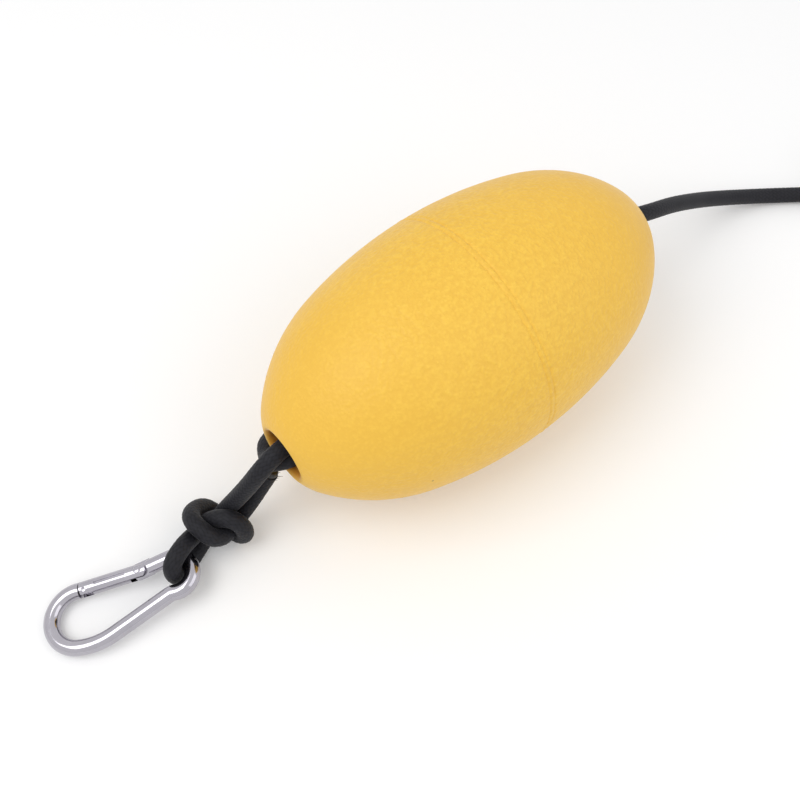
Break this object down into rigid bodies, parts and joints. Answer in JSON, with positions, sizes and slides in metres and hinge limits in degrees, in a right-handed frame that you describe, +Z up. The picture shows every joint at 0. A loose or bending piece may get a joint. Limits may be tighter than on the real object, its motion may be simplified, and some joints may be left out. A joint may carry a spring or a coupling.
{
  "type": "anchor float",
  "caption": "Egg-shaped foam float on a braided line, with a spring snap hook noosed to the line at one mouth and a stopper knot at the far end of the line.",
  "frame": {"origin": "on the floor below the middle of the float", "axes": "+X along the bore from the hook's end to the far end, +Z up"},
  "size_m": [0.4597, 0.1014, 0.096],
  "materials": {
    "foam": "satin",
    "rope": "matte",
    "sealed_tip": "gloss",
    "polished_metal": "polished"
  },
  "bodies": {
    "line_and_hook": {"line_core": "rope", "line_standing": "rope", "line_bight": "rope", "line_arm": "rope", "line_ring": "rope", "line_tail": "rope", "line_turn": "rope", "line_far": "rope", "end_knot": "rope", "tip_near": "sealed_tip", "tip_far": "sealed_tip", "hook_frame": "polished_metal"},
    "float": {"float_body": "foam"},
    "gate": {"hook_gate": "polished_metal", "gate_rivet": "polished_metal", "latch_pin": "polished_metal"}
  },
  "joints": [
    {"name": "float_spin", "type": "hinge", "parent": "line_and_hook", "child": "float", "pos_m": [0, 0, 0.048], "axis": [1, 0, 0], "continuous": true},
    {"name": "gate_hinge", "type": "hinge", "parent": "line_and_hook", "child": "gate", "pos_m": [-0.14693, 0.01242, 0.00779], "axis": [-0.123, 0.0573, 0.9907], "range_deg": [0, 30], "stiffness_Nm_per_rad": 0.02, "springref_deg": -34.38}
  ]
}
